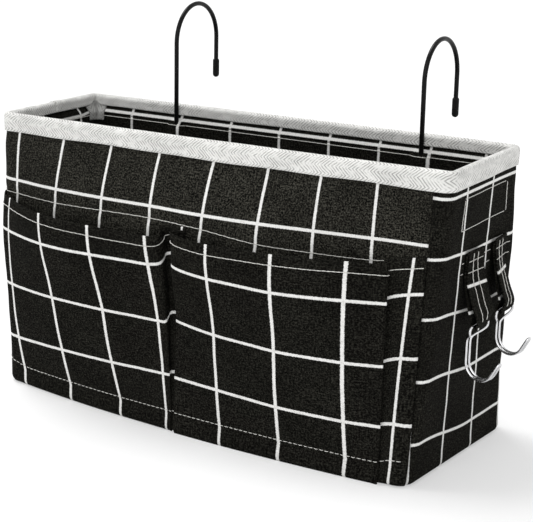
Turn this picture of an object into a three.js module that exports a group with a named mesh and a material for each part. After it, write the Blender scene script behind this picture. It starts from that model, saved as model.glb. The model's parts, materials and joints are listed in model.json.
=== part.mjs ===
// Bedside caddy: a stiffened cloth box with two front pockets, hung from a bed rail by two
// wire hooks, with two small wire hooks on straps at its right end.
// Millimetres. +X runs along the length, +Y to the back, +Z up.
// The origin lies on the standing surface, under the middle of the rim.
import * as THREE from 'three';

// Box, over the outer cloth at the rim. Its ends draw in towards the foot and its front stands out.
const BODY_LENGTH = 356;
const BODY_DEPTH = 109;
const BODY_HEIGHT = 206;
const LEFT_INSET = 3;
const RIGHT_INSET = 10;
const FRONT_FLARE = 17;
const CORNER_RADIUS = 12;
const BASE_EDGE_RADIUS = 5;

// Layers of the walls
const CLOTH = 0.8;
const BOARD = 1.6;
const GAP = 0.3;
const BOARD_MARGIN = 4;

// Seams of the outer cloth: how far the right ones stand in from the end of the box, and the
// angle round the corner of the front left one
const SEAM_MARGIN = 13;
const LEFT_SEAM_ANGLE = 80;

// Binding tape folded over the rim
const TAPE = 1;
const TAPE_DROP = 13;
const TAPE_CROWN = 3;

// Pockets on the front
const POCKET_DROP = 59;
const POCKET_CLOTH = 1.1;
const LEFT_POCKET_DEPTH = 23;
const RIGHT_POCKET_DEPTH = 20;
const LEFT_POCKET_RISE = 2;
const RIGHT_POCKET_RISE = 1.6;
const POCKET_HEM = 5;
const CENTRE_SEAM = -15;
const PLEAT_FOLD = 7;
const RIGHT_PLEAT = 27;

// Shares of the pockets' depth at the bends of their mouths
const CORNER_FILL = 0.12;
const SHOULDER_FILL = 0.5;
const TUCK_FILL = 0.2;
const OVERLAP_FILL = 0.65;
const FOLD_FILL = 0.4;

// Rail hooks
const HOOK_SPACING = 203;
const HOOK_SHIFT = 6.5;
const HOOK_WIRE = 3.4;
const HOOK_REACH = 55;
const HOOK_RISE = 73;
const HOOK_DROP = 59;
const RIGHT_HOOK_SUNK = 10;
const CAP_WIDTH = 5;
const CAP_LENGTH = 14;
const CAP_END = 2;
const CAP_ROUND = 1.6;

// Sleeves that hold the hooks' stems behind the lining
const SLIT_DROP = 17;
const SLEEVE_LENGTH = 44;
const SLEEVE_CLOTH = 0.8;
const SLEEVE_WIDTH = 18;
const RIDGE_REACH = 13;
const RIDGE_FADE = 22;

// Straps at the right end
const STRAP_WIDTH = 25;
const STRAP_CLOTH = 1.2;
const STRAP_SPACING = 39;
const STRAP_SETBACK = 45;
const TAB_HEIGHT = 15;
const LOOP_DROP = 75;
const LOOP_LENGTH = 31;
const LOOP_LEAN = 7.5;

// Small wire hooks
const KEY_WIRE = 1.8;
const KEY_CLEARANCE = 0.5;
const KEY_PAIR = 2.2;
const KEY_RING_END = 2;
const KEY_RING_BEND = 2;
const KEY_STEM_OFFSET = 7.4;
const KEY_STEM_TOP = 11;
const KEY_STEM_END = 26;
const KEY_BEND_RADIUS = 11.5;
const KEY_BEND_ANGLE = 150;
const KEY_TIP_LENGTH = 8;

// Fineness of the curves
const ARC_STEP = 15;
const EDGE_STEPS = 4;
const POCKET_ROWS = 8;
const POCKET_COLUMNS = 44;
const WIRE_SIDES = 12;
const WIRE_STEPS = 60;
const KEY_SIDES = 8;
const ROUND_SIDES = 16;
const KEY_CORNER_STEPS = 4;
const KEY_LEG_STEPS = 9;
const KEY_BEND_STEPS = 14;
const KEY_TURN_STEP = 30;
const RIDGE_SHARES = [0.15, 0.4, 0.7, 1];

// Sizes that follow from those above
const BOARD_INSET = CLOTH + GAP;
const LINING_INSET = BOARD_INSET + BOARD + GAP;
const WALL = LINING_INSET + CLOTH;
const WALL_TOP = BODY_HEIGHT - TAPE_CROWN - GAP;
const TAPE_FOOT = BODY_HEIGHT - TAPE_DROP;
const SLIT_LEVEL = BODY_HEIGHT - SLIT_DROP;
const POCKET_TOP = BODY_HEIGHT - POCKET_DROP;
const LOOP_LEVEL = BODY_HEIGHT - LOOP_DROP;
const FLAT_X = BODY_LENGTH / 2 - CORNER_RADIUS;
const FLAT_Y = BODY_DEPTH - 2 * CORNER_RADIUS;
const ARC = CORNER_RADIUS * Math.PI / 2;
const HALF_GIRTH = 2 * FLAT_X + FLAT_Y + 2 * ARC;
const FRONT_RIGHT_SEAM = BODY_LENGTH / 2 - SEAM_MARGIN;
const BACK_SEAM = HALF_GIRTH - FRONT_RIGHT_SEAM;
const FRONT_LEFT_SEAM = -FLAT_X - CORNER_RADIUS * THREE.MathUtils.degToRad(LEFT_SEAM_ANGLE);
const LINING_SEAM = FLAT_X + ARC / 2;
const BACK_LINING_SEAM = HALF_GIRTH - LINING_SEAM;

const canvas = new THREE.MeshStandardMaterial({ color: 0x23221f, roughness: 0.95, metalness: 0 });
const tape = new THREE.MeshStandardMaterial({ color: 0xdedcd4, roughness: 0.9, metalness: 0 });
const board = new THREE.MeshStandardMaterial({ color: 0x8a7a63, roughness: 0.95, metalness: 0 });
const blackWire = new THREE.MeshStandardMaterial({ color: 0x0b0b0c, roughness: 0.3, metalness: 0.2 });
const rubber = new THREE.MeshStandardMaterial({ color: 0x0d0d0e, roughness: 0.6, metalness: 0 });
const chrome = new THREE.MeshStandardMaterial({ color: 0xd8d9da, roughness: 0.12, metalness: 1 });

const caddy = new THREE.Group();

// Add a named piece to a group.
function addPiece(name, geometry, material, group = caddy) {
  const mesh = new THREE.Mesh(geometry, material);
  mesh.name = name;
  group.add(mesh);
}

// The outline of the box at a level: how far its left and right ends, its front and its back
// stand from the origin.
function boxAt(level) {
  const drop = 1 - level / BODY_HEIGHT;
  return {
    left: BODY_LENGTH / 2 - LEFT_INSET * drop,
    right: BODY_LENGTH / 2 - RIGHT_INSET * drop,
    front: BODY_DEPTH / 2 + FRONT_FLARE * drop,
    back: BODY_DEPTH / 2,
  };
}

// A point of the slanted wall. girth runs along the rim from the middle of the front, positive
// to the right, and inset is measured inwards from the outer cloth.
function wallPoint(girth, level, inset) {
  const box = boxAt(level);
  const around = girth > HALF_GIRTH ? girth - 2 * HALF_GIRTH : girth;
  const hand = around < 0 ? -1 : 1;
  const run = Math.abs(around);
  const coreX = (hand < 0 ? box.left : box.right) - CORNER_RADIUS;
  const coreFront = CORNER_RADIUS - box.front;
  const coreBack = box.back - CORNER_RADIUS;
  const radius = CORNER_RADIUS - inset;
  const sideStart = FLAT_X + ARC;
  const sideEnd = sideStart + FLAT_Y;
  if (run <= FLAT_X) {
    return new THREE.Vector3(hand * coreX * run / FLAT_X, coreFront - radius, level);
  }
  if (run < sideStart) {
    const turn = (run - FLAT_X) / CORNER_RADIUS;
    const across = coreX + radius * Math.sin(turn);
    return new THREE.Vector3(hand * across, coreFront - radius * Math.cos(turn), level);
  }
  if (run <= sideEnd) {
    const along = (run - sideStart) / FLAT_Y;
    const y = THREE.MathUtils.lerp(coreFront, coreBack, along);
    return new THREE.Vector3(hand * (coreX + radius), y, level);
  }
  if (run < sideEnd + ARC) {
    const turn = (run - sideEnd) / CORNER_RADIUS;
    const across = coreX + radius * Math.cos(turn);
    return new THREE.Vector3(hand * across, coreBack + radius * Math.sin(turn), level);
  }
  return new THREE.Vector3(hand * coreX * (HALF_GIRTH - run) / FLAT_X, coreBack + radius, level);
}

// Places along the girth between two ends, with a step every few degrees round each corner.
function girthSteps(from, to) {
  const steps = [from, to];
  for (const corner of [FLAT_X, FLAT_X + ARC + FLAT_Y]) {
    for (let angle = 0; angle <= 90; angle += ARC_STEP) {
      const run = corner + CORNER_RADIUS * THREE.MathUtils.degToRad(angle);
      steps.push(run, -run, 2 * HALF_GIRTH - run);
    }
  }
  const inside = steps.filter((run) => run >= from && run <= to).sort((a, b) => a - b);
  return inside.filter((run, i) => i === 0 || run - inside[i - 1] > GAP / 2);
}

// A closed solid through a row of rings. Each ring runs out along one side of a section and back
// along the other, so an end is closed by rungs between the two.
function loft(rings, closed = false) {
  const count = rings[0].length;
  const index = [];
  const rows = closed ? rings.length : rings.length - 1;
  for (let i = 0; i < rows; i += 1) {
    const here = i * count;
    const next = ((i + 1) % rings.length) * count;
    for (let j = 0; j < count; j += 1) {
      const k = (j + 1) % count;
      index.push(here + j, next + j, next + k, here + j, next + k, here + k);
    }
  }
  const last = (rings.length - 1) * count;
  for (let j = 0; !closed && j < count / 2 - 1; j += 1) {
    const far = count - 1 - j;
    index.push(j, j + 1, far - 1, j, far - 1, far);
    index.push(last + j, last + far - 1, last + j + 1, last + j, last + far, last + far - 1);
  }
  const points = rings.flat();
  let volume = 0;
  for (let i = 0; i < index.length; i += 3) {
    const [a, b, c] = [points[index[i]], points[index[i + 1]], points[index[i + 2]]];
    volume += a.dot(b.clone().cross(c));
  }
  if (volume < 0) {
    index.reverse();
  }
  const geometry = new THREE.BufferGeometry().setFromPoints(points);
  geometry.setIndex(index);
  geometry.computeVertexNormals();
  return geometry;
}

// A layer of the wall between two profiles, each a list of [inset, level] from the top down.
function wallLayer(girths, outer, inner) {
  const section = [...outer, ...inner.toReversed()];
  return loft(girths.map((girth) => section.map(([inset, level]) => wallPoint(girth, level, inset))));
}

// A plain layer with straight edges.
function flatLayer(from, to, inset, thickness, bottom, top) {
  const outer = [[inset, top], [inset, bottom]];
  const inner = [[inset + thickness, top], [inset + thickness, bottom]];
  return wallLayer(girthSteps(from, to), outer, inner);
}

// The outer cloth's profile, bare below the binding, which rolls in under the box at its foot.
function rolledProfile(inset) {
  const radius = BASE_EDGE_RADIUS - inset;
  const profile = [[inset, WALL_TOP], [inset, TAPE_FOOT - GAP]];
  for (let step = 0; step <= EDGE_STEPS; step += 1) {
    const turn = step / EDGE_STEPS * Math.PI / 2;
    profile.push([BASE_EDGE_RADIUS - radius * Math.cos(turn), BASE_EDGE_RADIUS - radius * Math.sin(turn)]);
  }
  return profile;
}

// A flat plate of the box's plan shape.
function plate(inset, bottom, thickness) {
  const girths = girthSteps(-HALF_GIRTH, HALF_GIRTH - GAP);
  const outline = girths.map((girth) => wallPoint(girth, bottom, inset));
  const shape = new THREE.Shape(outline.map((point) => new THREE.Vector2(point.x, point.y)));
  const geometry = new THREE.ExtrudeGeometry(shape, { depth: thickness, bevelEnabled: false });
  return geometry.translate(0, 0, bottom);
}

// Outer cloth, boards and lining of the five faces.
function addWalls() {
  const seams = {
    front_panel: [FRONT_LEFT_SEAM, FRONT_RIGHT_SEAM],
    right_side_panel: [FRONT_RIGHT_SEAM, BACK_SEAM],
    back_panel: [BACK_SEAM, 2 * HALF_GIRTH - BACK_SEAM],
    left_side_panel: [-BACK_SEAM, FRONT_LEFT_SEAM],
  };
  for (const [name, [from, to]] of Object.entries(seams)) {
    const girths = girthSteps(from + GAP / 2, to - GAP / 2);
    addPiece(name, wallLayer(girths, rolledProfile(0), rolledProfile(CLOTH)), canvas);
  }
  addPiece('base_panel', plate(BASE_EDGE_RADIUS + GAP, 0, CLOTH), canvas);

  const frontEdge = FLAT_X - BOARD_MARGIN;
  const sideStart = FLAT_X + ARC + BOARD_MARGIN;
  const sideEnd = FLAT_X + ARC + FLAT_Y - BOARD_MARGIN;
  const boards = {
    front_board: [-frontEdge, frontEdge],
    right_board: [sideStart, sideEnd],
    back_board: [HALF_GIRTH - frontEdge, HALF_GIRTH + frontEdge],
    left_board: [-sideEnd, -sideStart],
  };
  for (const [name, [from, to]] of Object.entries(boards)) {
    addPiece(name, flatLayer(from, to, BOARD_INSET, BOARD, BASE_EDGE_RADIUS, WALL_TOP), board);
  }
  addPiece('base_board', plate(BASE_EDGE_RADIUS, BOARD_INSET, BOARD), board);

  const liningFoot = WALL + GAP;
  const linings = {
    front_lining: [-LINING_SEAM, LINING_SEAM],
    right_lining: [LINING_SEAM, BACK_LINING_SEAM],
    left_lining: [-BACK_LINING_SEAM, -LINING_SEAM],
  };
  for (const [name, [from, to]] of Object.entries(linings)) {
    const layer = flatLayer(from + GAP / 2, to - GAP / 2, LINING_INSET, CLOTH, liningFoot, WALL_TOP);
    addPiece(name, layer, canvas);
  }
  addPiece('base_lining', plate(liningFoot, LINING_INSET, CLOTH), canvas);
}

// The hooks' stems stand in front of the binding's inner leg.
const STEM_INSET = WALL + GAP + TAPE + GAP + HOOK_WIRE / 2;
const SLEEVE_BORE = HOOK_WIRE / 2 + GAP;
const SLEEVE_RADIUS = SLEEVE_BORE + SLEEVE_CLOTH;
const SLEEVE_TOP = SLIT_LEVEL - GAP;
const SLEEVE_FOOT = SLEEVE_TOP - SLEEVE_LENGTH;
const STEM_FOOT = SLEEVE_FOOT - GAP - CAP_LENGTH;
const HOOK_STEM = BODY_HEIGHT + HOOK_RISE - STEM_FOOT;
const RIDGE_FOOT = STEM_FOOT - RIGHT_HOOK_SUNK - GAP;
const HOOK_PLACES = { left: HOOK_SHIFT - HOOK_SPACING / 2, right: HOOK_SHIFT + HOOK_SPACING / 2 };
const HOOK_SUNK = { left: 0, right: RIGHT_HOOK_SUNK };

// How far the back lining swells over the stems at a place across the back.
function ridge(x, level) {
  const height = STEM_INSET + SLEEVE_RADIUS + GAP - LINING_INSET;
  const nearest = Math.min(...Object.values(HOOK_PLACES).map((place) => Math.abs(x - place)));
  const across = 1 - THREE.MathUtils.smoothstep(nearest, SLEEVE_BORE, RIDGE_REACH);
  return height * across * THREE.MathUtils.smoothstep(level, RIDGE_FOOT - RIDGE_FADE, RIDGE_FOOT);
}

// Back lining: the sheet below the slits swells over the stems, and a facing above lies flat.
function addBackLining() {
  const from = BACK_LINING_SEAM + GAP / 2;
  const to = 2 * HALF_GIRTH - BACK_LINING_SEAM - GAP / 2;
  const girths = girthSteps(from, to);
  const box = boxAt(SLIT_LEVEL);
  for (const [side, place] of Object.entries(HOOK_PLACES)) {
    const middle = HALF_GIRTH - place * FLAT_X / (box[side] - CORNER_RADIUS);
    for (const share of RIDGE_SHARES) {
      girths.push(middle - share * RIDGE_REACH, middle + share * RIDGE_REACH);
    }
  }
  girths.sort((a, b) => a - b);
  const levels = [SLIT_LEVEL, RIDGE_FOOT];
  for (let step = 1; step <= EDGE_STEPS; step += 1) {
    levels.push(RIDGE_FOOT - step / EDGE_STEPS * RIDGE_FADE);
  }
  levels.push(WALL + GAP);
  const rings = girths.map((girth) => {
    const swell = (level) => ridge(wallPoint(girth, level, 0).x, level);
    const outer = levels.map((level) => wallPoint(girth, level, LINING_INSET + swell(level)));
    const inner = levels.map((level) => wallPoint(girth, level, WALL + swell(level)));
    return [...outer, ...inner.reverse()];
  });
  addPiece('back_lining', loft(rings), canvas);
  addPiece('back_facing', flatLayer(from, to, LINING_INSET, CLOTH, SLIT_LEVEL + GAP, WALL_TOP), canvas);
}

// Binding: one tape folded over the rim all the way round.
function addBinding() {
  const middle = WALL / 2;
  const foot = TAPE_FOOT;
  const shoulder = BODY_HEIGHT - TAPE_CROWN;
  const halfWidth = middle + GAP + TAPE;
  const outside = [[middle - halfWidth, foot]];
  const inside = [[middle - halfWidth + TAPE, foot]];
  for (let angle = 180; angle >= 0; angle -= 180 / (2 * EDGE_STEPS)) {
    const cos = Math.cos(THREE.MathUtils.degToRad(angle));
    const sin = Math.sin(THREE.MathUtils.degToRad(angle));
    outside.push([middle + halfWidth * cos, shoulder + TAPE_CROWN * sin]);
    inside.push([middle + (halfWidth - TAPE) * cos, shoulder + (TAPE_CROWN - TAPE) * sin]);
  }
  outside.push([middle + halfWidth, foot]);
  inside.push([middle + halfWidth - TAPE, foot]);
  const section = [...outside, ...inside.reverse()];
  const girths = girthSteps(-HALF_GIRTH, HALF_GIRTH - GAP);
  const rings = girths.map((girth) => section.map(([inset, level]) => wallPoint(girth, level, inset)));
  addPiece('rim_binding', loft(rings, true), tape);
}

// How full a pocket is at a level: flat on the panel at its foot, full at its mouth. A low power
// fills it early, a high one late.
function pocketFill(level, power) {
  const rise = (level - BASE_EDGE_RADIUS - POCKET_HEM) / (POCKET_TOP - BASE_EDGE_RADIUS - POCKET_HEM);
  return Math.sin(Math.pow(Math.max(rise, 0), power) * Math.PI / 2);
}

// A pocket: a strip of cloth that follows a plan curve of [girth, stand-off] at its mouth, and
// closes on the panel towards its foot, where its pleats lie flat.
function pocket(plan, power) {
  const curve = new THREE.SplineCurve(plan.map(([girth, off]) => new THREE.Vector2(girth, off)));
  const first = plan[0][0];
  const last = plan.at(-1)[0];
  const levels = [BASE_EDGE_RADIUS];
  for (let row = 0; row <= POCKET_ROWS; row += 1) {
    levels.push(THREE.MathUtils.lerp(BASE_EDGE_RADIUS + POCKET_HEM, POCKET_TOP, row / POCKET_ROWS));
  }
  const rings = [];
  for (let column = 0; column <= POCKET_COLUMNS; column += 1) {
    const share = column / POCKET_COLUMNS;
    const at = curve.getPointAt(share);
    const along = curve.getTangentAt(share);
    const face = [];
    const lining = [];
    for (const level of levels.toReversed()) {
      const fill = pocketFill(level, power);
      const girth = THREE.MathUtils.lerp(THREE.MathUtils.lerp(first, last, share), at.x, fill);
      const off = GAP + POCKET_CLOTH / 2 + at.y * fill;
      const slope = new THREE.Vector2(THREE.MathUtils.lerp(1, along.x, fill), along.y * fill).normalize();
      const half = POCKET_CLOTH / 2;
      face.push(wallPoint(girth - slope.y * half, level, -(off + slope.x * half)));
      lining.push(wallPoint(girth + slope.y * half, level, -(off - slope.x * half)));
    }
    rings.push([...face, ...lining.reverse()]);
  }
  return loft(rings);
}

// Two pockets side by side, each with a pleat at its right end.
function addPockets() {
  const left = LEFT_POCKET_DEPTH;
  const right = RIGHT_POCKET_DEPTH;
  const start = FRONT_LEFT_SEAM + GAP;
  const end = FRONT_RIGHT_SEAM - GAP;
  const fold = end - RIGHT_PLEAT;
  addPiece('left_pocket', pocket([
    [start, 0],
    [start + ARC / 2, left * CORNER_FILL],
    [-FLAT_X + PLEAT_FOLD, left * SHOULDER_FILL],
    [-FLAT_X * 3 / 4, left],
    [-FLAT_X / 2, left],
    [CENTRE_SEAM - 4 * PLEAT_FOLD, left * SHOULDER_FILL],
    [CENTRE_SEAM - 3 * PLEAT_FOLD, left * TUCK_FILL],
    [CENTRE_SEAM - PLEAT_FOLD / 4, 0],
  ], LEFT_POCKET_RISE), canvas);
  addPiece('right_pocket', pocket([
    [CENTRE_SEAM + PLEAT_FOLD / 4, 0],
    [CENTRE_SEAM, right * OVERLAP_FILL / 2],
    [CENTRE_SEAM - PLEAT_FOLD / 2, right * OVERLAP_FILL],
    [CENTRE_SEAM + 2 * PLEAT_FOLD, right],
    [FLAT_X / 3, right],
    [FLAT_X * 2 / 3, right * (1 + SHOULDER_FILL) / 2],
    [fold, right * FOLD_FILL],
    [fold - PLEAT_FOLD / 2, right * FOLD_FILL / 2],
    [fold + PLEAT_FOLD, right * TUCK_FILL / 2],
    [end, 0],
  ], RIGHT_POCKET_RISE), canvas);
}

// A cap on a wire's end, standing on its closed end, with a bore for the wire.
function wireCap() {
  const radius = CAP_WIDTH / 2;
  const bore = HOOK_WIRE / 2 + GAP;
  const points = [new THREE.Vector2(0, 0)];
  for (let step = 0; step <= EDGE_STEPS; step += 1) {
    const turn = step / EDGE_STEPS * Math.PI / 2;
    const across = radius - CAP_ROUND + CAP_ROUND * Math.sin(turn);
    points.push(new THREE.Vector2(across, CAP_ROUND - CAP_ROUND * Math.cos(turn)));
  }
  points.push(new THREE.Vector2(radius, CAP_LENGTH));
  points.push(new THREE.Vector2(bore, CAP_LENGTH));
  points.push(new THREE.Vector2(bore, CAP_END));
  points.push(new THREE.Vector2(0, CAP_END));
  return new THREE.LatheGeometry(points, ROUND_SIDES).rotateX(Math.PI / 2);
}

// Rail hook in its own frame: the stem on the Z axis, its crown at the origin's level, the free
// leg to the back.
function railHookPath() {
  const radius = HOOK_REACH / 2;
  const path = new THREE.CurvePath();
  const foot = -HOOK_STEM + CAP_END + GAP;
  const legEnd = -HOOK_DROP + CAP_END + GAP;
  const bow = radius * 4 / 3 * Math.tan(Math.PI / 8);
  const stemTop = new THREE.Vector3(0, 0, -radius);
  const crown = new THREE.Vector3(0, radius, 0);
  const legTop = new THREE.Vector3(0, HOOK_REACH, -radius);
  path.add(new THREE.LineCurve3(new THREE.Vector3(0, 0, foot), stemTop));
  path.add(new THREE.CubicBezierCurve3(
    stemTop,
    new THREE.Vector3(0, 0, bow - radius),
    new THREE.Vector3(0, radius - bow, 0),
    crown,
  ));
  path.add(new THREE.CubicBezierCurve3(
    crown,
    new THREE.Vector3(0, radius + bow, 0),
    new THREE.Vector3(0, HOOK_REACH, bow - radius),
    legTop,
  ));
  path.add(new THREE.LineCurve3(legTop, new THREE.Vector3(0, HOOK_REACH, legEnd)));
  return path;
}

// Sleeve of webbing sewn to the back board: a flat flange with a round channel for the stem.
function sleeve() {
  const half = SLEEVE_WIDTH / 2;
  const centre = STEM_INSET - LINING_INSET;
  const neck = SLEEVE_RADIUS * Math.SQRT1_2;
  const shape = new THREE.Shape();
  shape.moveTo(-half, 0);
  shape.lineTo(half, 0);
  shape.lineTo(half, SLEEVE_CLOTH);
  shape.lineTo(neck, SLEEVE_CLOTH);
  shape.lineTo(neck, centre - neck);
  shape.absarc(0, centre, SLEEVE_RADIUS, -Math.PI / 4, Math.PI * 5 / 4, false);
  shape.lineTo(-neck, SLEEVE_CLOTH);
  shape.lineTo(-half, SLEEVE_CLOTH);
  const bore = new THREE.Path().absarc(0, centre, SLEEVE_BORE, 0, 2 * Math.PI, true);
  shape.holes.push(bore);
  const options = { depth: SLEEVE_LENGTH, bevelEnabled: false, curveSegments: ROUND_SIDES / 2 };
  return new THREE.ExtrudeGeometry(shape, options).rotateZ(Math.PI);
}

// The two rail hooks, with their caps and sleeves.
function addRailHooks() {
  const wireShape = new THREE.Shape().absarc(0, 0, HOOK_WIRE / 2, 0, 2 * Math.PI, false);
  const options = { steps: WIRE_STEPS, curveSegments: WIRE_SIDES / 2, extrudePath: railHookPath() };
  for (const [side, x] of Object.entries(HOOK_PLACES)) {
    const hook = new THREE.Group();
    hook.position.set(x, BODY_DEPTH / 2 - STEM_INSET, BODY_HEIGHT + HOOK_RISE - HOOK_SUNK[side]);
    addPiece(`${side}_rail_hook`, new THREE.ExtrudeGeometry(wireShape, options), blackWire, hook);
    addPiece(`${side}_hook_tip`, wireCap().translate(0, HOOK_REACH, -HOOK_DROP), rubber, hook);
    addPiece(`${side}_hook_foot`, wireCap().translate(0, 0, -HOOK_STEM), rubber, hook);
    caddy.add(hook);
    const place = sleeve().translate(x, BODY_DEPTH / 2 - LINING_INSET, SLEEVE_FOOT);
    addPiece(`${side}_hook_sleeve`, place, canvas);
  }
}

// Strap loop in its own frame: the stitch line at the origin, X outwards. The two layers part
// below the stitches and turn round the small hook's ring.
function strapLoop() {
  const turn = KEY_WIRE / 2 + KEY_CLEARANCE + STRAP_CLOTH;
  const hollow = turn - STRAP_CLOTH;
  const part = LOOP_LENGTH / 5;
  const shape = new THREE.Shape();
  shape.moveTo(-STRAP_CLOTH, 0);
  shape.absarc(0, 0, STRAP_CLOTH, Math.PI, 0, true);
  shape.bezierCurveTo(
    STRAP_CLOTH, -part,
    LOOP_LEAN + turn, -2 * part,
    LOOP_LEAN + turn, -LOOP_LENGTH,
  );
  shape.absarc(LOOP_LEAN, -LOOP_LENGTH, turn, 0, -Math.PI, true);
  shape.bezierCurveTo(
    LOOP_LEAN - turn, -3 * part,
    -STRAP_CLOTH, -2 * part,
    -STRAP_CLOTH, 0,
  );
  const hole = new THREE.Path();
  hole.moveTo(LOOP_LEAN - hollow, -LOOP_LENGTH);
  hole.absarc(LOOP_LEAN, -LOOP_LENGTH, hollow, Math.PI, 2 * Math.PI, false);
  hole.bezierCurveTo(
    LOOP_LEAN + hollow, -3 * part,
    LOOP_LEAN / 2, -2 * part,
    STRAP_CLOTH, -1.5 * part,
  );
  hole.bezierCurveTo(
    LOOP_LEAN / 3, -3 * part,
    LOOP_LEAN - hollow, -4 * part,
    LOOP_LEAN - hollow, -LOOP_LENGTH,
  );
  shape.holes.push(hole);
  const options = { depth: STRAP_WIDTH, bevelEnabled: false, curveSegments: ROUND_SIDES / 2 };
  return new THREE.ExtrudeGeometry(shape, options).rotateX(Math.PI / 2).translate(0, STRAP_WIDTH / 2, 0);
}

// Centre line of the small hook in its own frame: ring axis on Y through the origin, X outwards.
// One wire runs from a ring end down the stem and round the bend, turns back at the tip and
// comes up beside itself to the other ring end.
function keyHookLine() {
  const ring = STRAP_WIDTH / 2 + KEY_CLEARANCE + KEY_WIRE / 2;
  const pair = KEY_PAIR / 2;
  const bendEnd = THREE.MathUtils.degToRad(KEY_BEND_ANGLE - 180);
  const centreX = KEY_BEND_RADIUS - KEY_STEM_OFFSET;
  const half = [new THREE.Vector3(0, KEY_RING_END, 0), new THREE.Vector3(0, ring - KEY_RING_BEND, 0)];
  const corner = new THREE.QuadraticBezierCurve3(
    half[1],
    new THREE.Vector3(0, ring, 0),
    new THREE.Vector3(0, ring, -KEY_RING_BEND),
  );
  half.push(...corner.getPoints(KEY_CORNER_STEPS).slice(1));
  const leg = new THREE.CubicBezierCurve3(
    half.at(-1),
    new THREE.Vector3(0, ring, -KEY_STEM_TOP / 2),
    new THREE.Vector3(-KEY_STEM_OFFSET, pair, -KEY_STEM_TOP / 2),
    new THREE.Vector3(-KEY_STEM_OFFSET, pair, -KEY_STEM_TOP),
  );
  half.push(...leg.getPoints(KEY_LEG_STEPS).slice(1));
  const bend = new THREE.EllipseCurve(
    centreX, -KEY_STEM_END, KEY_BEND_RADIUS, KEY_BEND_RADIUS, -Math.PI, bendEnd, false,
  );
  half.push(...bend.getPoints(KEY_BEND_STEPS).map((point) => new THREE.Vector3(point.x, pair, point.y)));
  const heading = new THREE.Vector3(-Math.sin(bendEnd), 0, Math.cos(bendEnd));
  const tip = half.at(-1).clone().addScaledVector(heading, KEY_TIP_LENGTH);
  half.push(tip);
  const mirror = half.toReversed().map((point) => new THREE.Vector3(point.x, -point.y, point.z));
  const middle = new THREE.Vector3(tip.x, 0, tip.z);
  const turn = [];
  for (let angle = KEY_TURN_STEP; angle < 180; angle += KEY_TURN_STEP) {
    const swing = THREE.MathUtils.degToRad(angle);
    const across = new THREE.Vector3(0, pair * Math.cos(swing), 0);
    turn.push(middle.clone().add(across).addScaledVector(heading, pair * Math.sin(swing)));
  }
  return [...half, ...turn, ...mirror];
}

// A round wire through a row of points, its section carried along without twist.
function wireThrough(points, radius, sides) {
  const rings = [];
  const normal = new THREE.Vector3();
  points.forEach((point, i) => {
    const before = points[Math.max(i - 1, 0)];
    const after = points[Math.min(i + 1, points.length - 1)];
    const along = after.clone().sub(before).normalize();
    if (i === 0) {
      normal.set(1, 0, 0);
    }
    normal.addScaledVector(along, -normal.dot(along)).normalize();
    const side = along.clone().cross(normal);
    const ring = [];
    for (let j = 0; j < sides; j += 1) {
      const angle = j / sides * 2 * Math.PI;
      const spoke = normal.clone().multiplyScalar(radius * Math.cos(angle));
      ring.push(spoke.addScaledVector(side, radius * Math.sin(angle)).add(point));
    }
    rings.push(ring);
  });
  return loft(rings);
}

// Two straps on the right end: each has a sewn tab, a hanging loop and a small hook.
function addStraps() {
  const places = { front: STRAP_SETBACK, rear: STRAP_SETBACK + STRAP_SPACING };
  const layers = 2 * STRAP_CLOTH;
  const tabFoot = LOOP_LEVEL + STRAP_CLOTH + GAP;
  for (const [name, setback] of Object.entries(places)) {
    const girth = FLAT_X + ARC + setback - CORNER_RADIUS;
    const from = girth - STRAP_WIDTH / 2;
    const to = girth + STRAP_WIDTH / 2;
    const tab = flatLayer(from, to, -GAP - layers, layers, tabFoot, tabFoot + TAB_HEIGHT);
    addPiece(`${name}_strap_tab`, tab, canvas);
    const loop = new THREE.Group();
    loop.position.copy(wallPoint(girth, LOOP_LEVEL, -GAP - STRAP_CLOTH));
    addPiece(`${name}_strap_loop`, strapLoop(), canvas, loop);
    const hook = new THREE.Group();
    hook.position.set(LOOP_LEAN, 0, -LOOP_LENGTH);
    addPiece(`${name}_key_hook`, wireThrough(keyHookLine(), KEY_WIRE / 2, KEY_SIDES), chrome, hook);
    loop.add(hook);
    caddy.add(loop);
  }
}

addWalls();
addBackLining();
addBinding();
addPockets();
addRailHooks();
addStraps();

export default caddy;
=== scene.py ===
import json
import math

import bmesh
import bpy
import numpy as np
from mathutils import Matrix, Vector, noise

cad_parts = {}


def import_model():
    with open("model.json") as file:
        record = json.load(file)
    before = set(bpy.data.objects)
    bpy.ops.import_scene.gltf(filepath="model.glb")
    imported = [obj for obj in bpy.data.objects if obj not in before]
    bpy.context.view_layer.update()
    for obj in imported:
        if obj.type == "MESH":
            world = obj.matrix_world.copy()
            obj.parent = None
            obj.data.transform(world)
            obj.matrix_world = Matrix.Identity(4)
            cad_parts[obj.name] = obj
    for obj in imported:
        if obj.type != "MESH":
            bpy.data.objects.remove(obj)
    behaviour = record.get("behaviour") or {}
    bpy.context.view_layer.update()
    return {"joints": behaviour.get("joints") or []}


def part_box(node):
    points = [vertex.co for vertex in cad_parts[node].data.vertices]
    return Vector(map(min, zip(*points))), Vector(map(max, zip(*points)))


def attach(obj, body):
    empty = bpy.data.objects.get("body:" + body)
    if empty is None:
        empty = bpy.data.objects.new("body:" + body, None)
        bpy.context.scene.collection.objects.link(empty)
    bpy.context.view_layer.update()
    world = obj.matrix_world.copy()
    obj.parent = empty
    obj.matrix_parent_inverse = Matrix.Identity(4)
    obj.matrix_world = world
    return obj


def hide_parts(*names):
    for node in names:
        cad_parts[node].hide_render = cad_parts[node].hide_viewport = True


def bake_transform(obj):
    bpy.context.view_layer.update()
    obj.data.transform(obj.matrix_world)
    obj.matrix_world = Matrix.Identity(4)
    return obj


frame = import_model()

MM = 0.001


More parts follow.
